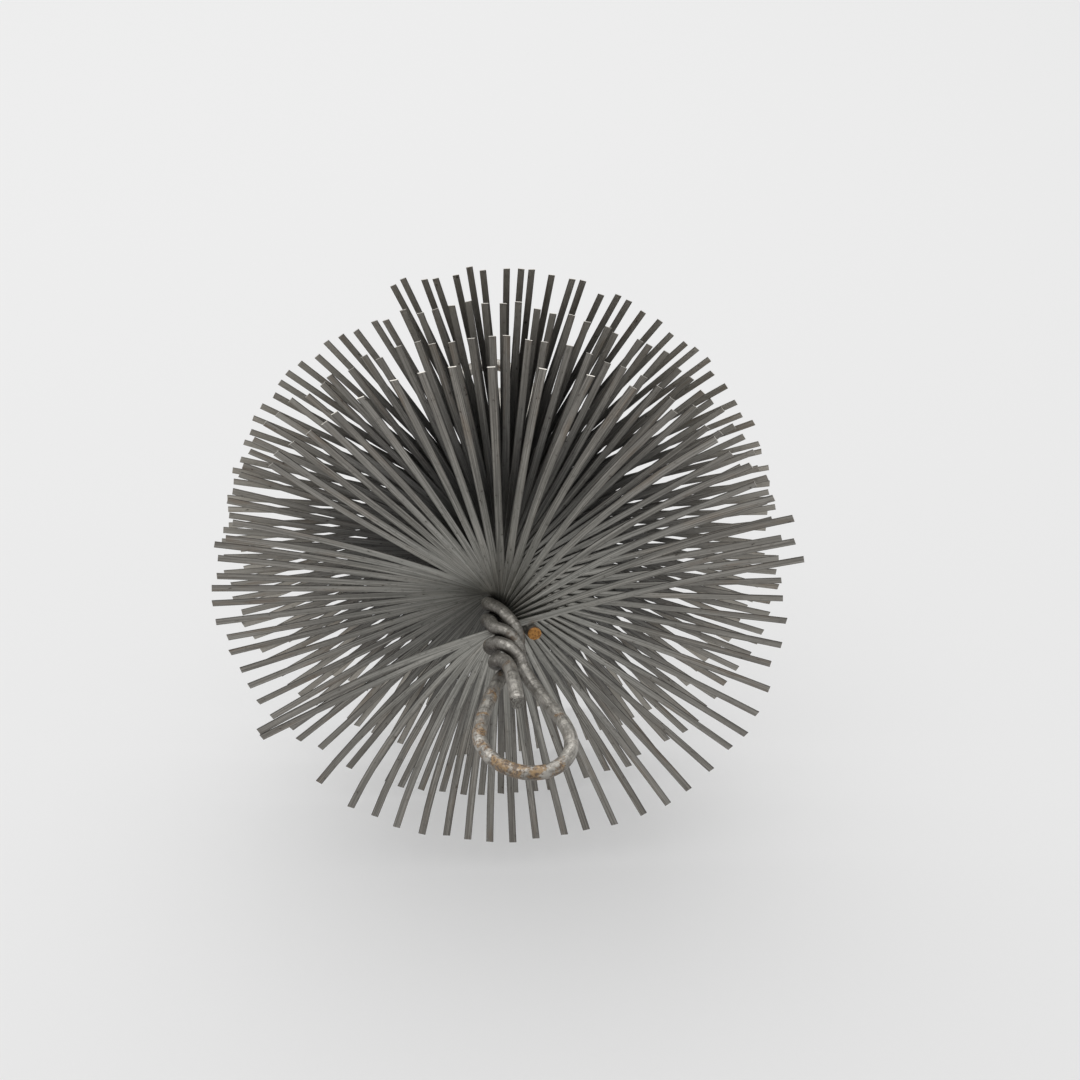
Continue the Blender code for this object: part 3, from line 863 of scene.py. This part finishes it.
def galvanised_wire_zinc():
    """Hot-dip galvanised wire: matt mottled zinc, with the marks of drawing and bending across it.

    In the twist it is darker, with painted shade under the wires and near-black painted shade between the turns
    and in the cutter's groove. The bends and the short cut end have rusted through in brown and orange patches,
    darker in the twist.
    """
    finish = Finish("galvanised steel wire", "#b4b2ac", 0.85, 0.45)
    millimetres = in_millimetres(finish)
    drawn = finish.node("ShaderNodeUVMap", {"uv_map": "drawn"})
    rust, grime, crevice, underside = [
        finish.node("ShaderNodeAttribute", {"attribute_name": mark}).outputs["Fac"]
        for mark in ("rust", "grime", "crevice", "underside")]
    # Mottling of 3 mm, rust blotches of 2 mm and worn streaks 4 mm long and 1 mm wide
    mottle = pattern(finish, millimetres, (0.3, 0.3, 0.3), 6.0)
    blotches = pattern(finish, millimetres, (0.45, 0.45, 0.45), 5.0)
    streaks = pattern(finish, drawn, (0.28, 1.1, 1.0), 5.0)
    # The zinc's crust and the marks across the wire have a grain of about 0.1 mm, too fine to show, so they
    # are drawn 0.8 and 0.9 mm apart
    crust = pattern(finish, millimetres, (1.3, 1.3, 1.3), 5.0)
    marks = pattern(finish, drawn, (1.1, 0.14, 1.0), 4.0)
    zinc = coat(finish, "#aca8a1", "#d5d1c9", (mottle, 0.38, 0.62))
    worn = coat(finish, zinc, "#75716b", (streaks, 0.46, 0.62, 0.0, 0.6))
    crusted = coat(finish, worn, "#d2d0ca", (crust, 0.54, 0.68, 0.0, 0.55))
    # Darker in the twist, in patches
    darkened_in_twist = coat(finish, crusted, "#6e6b66", (crust, 0.3, 0.6, 0.1, 0.6), grime)
    marked = coat(finish, darkened_in_twist, "#615d57", (marks, 0.52, 0.64, 0.0, 0.45))
    # Rust eats into the zinc in blotches with a crusty edge, so it is dense only where they let it
    eaten = finish.node("ShaderNodeMix", {"data_type": "FLOAT", 0: 0.28}, _2=blotches, _3=crust)
    resistance = finish.node("ShaderNodeMapRange", rise(0.36, 0.64), Value=eaten)
    uneven_rust = finish.node("ShaderNodeMath", {"operation": "SUBTRACT"}, _0=rust, _1=resistance)
    rusty = finish.node("ShaderNodeMapRange", rise(-0.05, 0.42, 0.0, 0.8), Value=uneven_rust)
    brown = coat(finish, "#5b4229", "#aa8653", (crust, 0.42, 0.56))
    # The rust is darker in the twist
    rust_darker_in_twist = coat(finish, brown, "#2b221b", (grime, 0.25, 0.8, 0.0, 0.7))
    fresh = coat(finish, rust_darker_in_twist, "#b8752b", (rust, 1.4, 1.8))
    rusted = finish.node("ShaderNodeMix", {"data_type": "RGBA"}, _0=rusty, _6=marked, _7=fresh).outputs[2]
    # Painted shade under the wires, stronger in the twist
    painted_shade = coat(finish, rusted, "#3a332c", underside, (grime, 0.0, 1.0, 0.52, 0.85))
    # Painted shade, near black, deep between the turns and in the groove
    shaded_in_crevices = coat(finish, painted_shade, "#1b1815", (crevice, 0.0, 1.0, 0.0, 0.94))
    finish.link(finish.shader, "Base Color", shaded_in_crevices)
    bare_metal = finish.node("ShaderNodeMapRange", rise(0.0, 0.6, 0.85, 0.1), Value=rusty)
    finish.link(finish.shader, "Metallic", bare_metal)
    dullness = finish.node("ShaderNodeMapRange", rise(0.3, 0.7, 0.36, 0.55), Value=crust)
    finish.link(finish.shader, "Roughness", dullness)
    height = finish.node("ShaderNodeMath", {"operation": "ADD"}, _0=crust, _1=marks)
    bump = finish.node("ShaderNodeBump", {"Strength": 1.0, "Distance": 0.14 * MM}, Height=height)
    finish.link(finish.shader, "Normal", bump)
    return finish.material


def cropped_wire_steel():
    """The wire's cropped end, dull grey with smeared zinc and the cutter's lines across it.

    Real lines lie about 0.1 mm apart, too fine to show, so they are drawn about half a millimetre apart.
    """
    finish = Finish("cropped wire end", "#7d7b76", 0.7, 0.6)
    lines = pattern(finish, in_millimetres(finish), (2.5, 1.2, 1.8), 3.0)
    finish.link(finish.shader, "Base Color", coat(finish, "#6a6762", "#8e8c86", (lines, 0.4, 0.62)))
    return finish.material


def rusted_wire_end():
    """A cropped end that has rusted over: orange-brown, dry and matt.

    The grain of real rust is finer than 0.1 mm, too fine to show, so it is drawn 0.7 mm wide.
    """
    finish = Finish("rusted wire end", "#b8772c", 0.0, 0.85)
    grain = pattern(finish, in_millimetres(finish), (1.4, 1.4, 1.4), 3.0)
    finish.link(finish.shader, "Base Color", coat(finish, "#8c5c2c", "#c58e4a", (grain, 0.38, 0.6)))
    return finish.material


def make_brush():
    """The strips, fan by fan, and the two wires that clamp them."""
    strips = lay_strips()
    strip_finishes = (tempered_strip_steel(), sheared_strip_steel())
    for first in range(0, STRIP_COUNT, STRIPS_PER_FAN):
        number = first // STRIPS_PER_FAN + 1
        add_fan(number, strips[first:first + STRIPS_PER_FAN], strip_finishes)
    front = CoreEnd(True)
    rear = CoreEnd(False)
    wire_finishes = (galvanised_wire_zinc(), cropped_wire_steel(), rusted_wire_end())
    paths = (front_eye_wire_path(front, rear), rear_eye_wire_path(front, rear))
    lines = centre_lines(paths)
    add_wire(0, "galvanised_wire_front_eye", "front_eye_wire", paths[0], lines, wire_finishes)
    add_wire(1, "galvanised_wire_rear_eye", "rear_eye_wire", paths[1], lines, wire_finishes)


# The photograph's camera: its place in the core's own directions, where it turns and its lens
CAMERA_PLACE = Vector((11.0 * MM, -409.8 * MM, 309.0 * MM))
CAMERA_YAW = math.radians(-0.17)
CAMERA_DOWN = math.radians(34.5)
CAMERA_ROLL = math.radians(-0.49)
CAMERA_LENS = 66.7
SENSOR = 36
NEAREST_SEEN = 0.01


def add_camera():
    """The camera, turned to the side, down and about its own axis."""
    forward = Vector((math.sin(CAMERA_YAW) * math.cos(CAMERA_DOWN),
                      math.cos(CAMERA_YAW) * math.cos(CAMERA_DOWN), -math.sin(CAMERA_DOWN)))
    right = Vector((math.cos(CAMERA_YAW), -math.sin(CAMERA_YAW), 0))
    up = right.cross(forward)
    turned_right = math.cos(CAMERA_ROLL) * right + math.sin(CAMERA_ROLL) * up
    turned_up = -math.sin(CAMERA_ROLL) * right + math.cos(CAMERA_ROLL) * up
    camera = bpy.data.objects.new("camera", bpy.data.cameras.new("camera"))
    camera.data.lens = CAMERA_LENS
    camera.data.sensor_width = SENSOR
    camera.data.clip_start = NEAREST_SEEN
    camera.matrix_world = Matrix((
        (turned_right.x, turned_up.x, -forward.x, 0),
        (turned_right.y, turned_up.y, -forward.y, 0),
        (turned_right.z, turned_up.z, -forward.z, 0),
        (0, 0, 0, 1)))
    camera.location = to_world(CAMERA_PLACE)
    bpy.context.scene.collection.objects.link(camera)
    bpy.context.scene.camera = camera


# The studio: pale paper whose glow fills in the shadow, soft light from all round, and one large softbox
# above and a little behind the brush. Together they show a colour about as it is written
FLOOR_SIZE = 8.0
FLOOR_COLOUR = "#ececec"
FLOOR_GLOW = 0.35
WORLD_STRENGTH = 0.43
SOFTBOX_SIZE = 2.4
SOFTBOX_PLACE = Vector((-0.15, 0.35, 1.25))
SOFTBOX_POWER = 20


def white_studio_paper():
    """Matt white paper. To the camera a part of its light is its own, which keeps the shadow pale."""
    finish = Finish("matt white studio paper", FLOOR_COLOUR, 0.0, 0.9)
    rays = finish.node("ShaderNodeLightPath")
    seen = finish.node("ShaderNodeMath", {"operation": "MAXIMUM"},
                       _0=rays.outputs["Is Camera Ray"], _1=rays.outputs["Is Glossy Ray"])
    share = finish.node("ShaderNodeMath", {"operation": "MULTIPLY", 1: FLOOR_GLOW}, _0=seen)
    glow = finish.node("ShaderNodeEmission", {"Color": linear(FLOOR_COLOUR), "Strength": 1.0})
    mixed = finish.node("ShaderNodeMixShader", {}, _0=share, _1=finish.shader, _2=glow)
    finish.link(finish.tree.nodes["Material Output"], "Surface", mixed)
    return finish.material


def add_floor():
    """The plain paper that the brush rests on, wider than the picture."""
    half = FLOOR_SIZE / 2
    mesh = bpy.data.meshes.new("floor")
    corners = [(-half, -half, 0), (half, -half, 0), (half, half, 0), (-half, half, 0)]
    mesh.from_pydata(corners, [], [(0, 1, 2, 3)])
    floor = bpy.data.objects.new("floor", mesh)
    bpy.context.scene.collection.objects.link(floor)
    floor.data.materials.append(white_studio_paper())


def add_light():
    """The light from all round and the softbox, which points at the middle of the brush."""
    world = bpy.data.worlds.new("studio")
    bpy.context.scene.world = world
    world.use_nodes = True
    background = world.node_tree.nodes["Background"]
    background.inputs["Color"].default_value = (1.0, 1.0, 1.0, 1.0)
    background.inputs["Strength"].default_value = WORLD_STRENGTH
    data = bpy.data.lights.new("softbox", "AREA")
    data.shape = "SQUARE"
    data.size = SOFTBOX_SIZE
    data.energy = SOFTBOX_POWER
    softbox = bpy.data.objects.new("softbox", data)
    softbox.location = SOFTBOX_PLACE
    aim = to_world(Vector((0, BRISTLED_LENGTH / 2, 0))) - softbox.location
    softbox.rotation_euler = aim.to_track_quat("-Z", "Y").to_euler()
    bpy.context.scene.collection.objects.link(softbox)


make_brush()
add_camera()
add_floor()
add_light()
bpy.context.scene.view_settings.view_transform = "Standard"
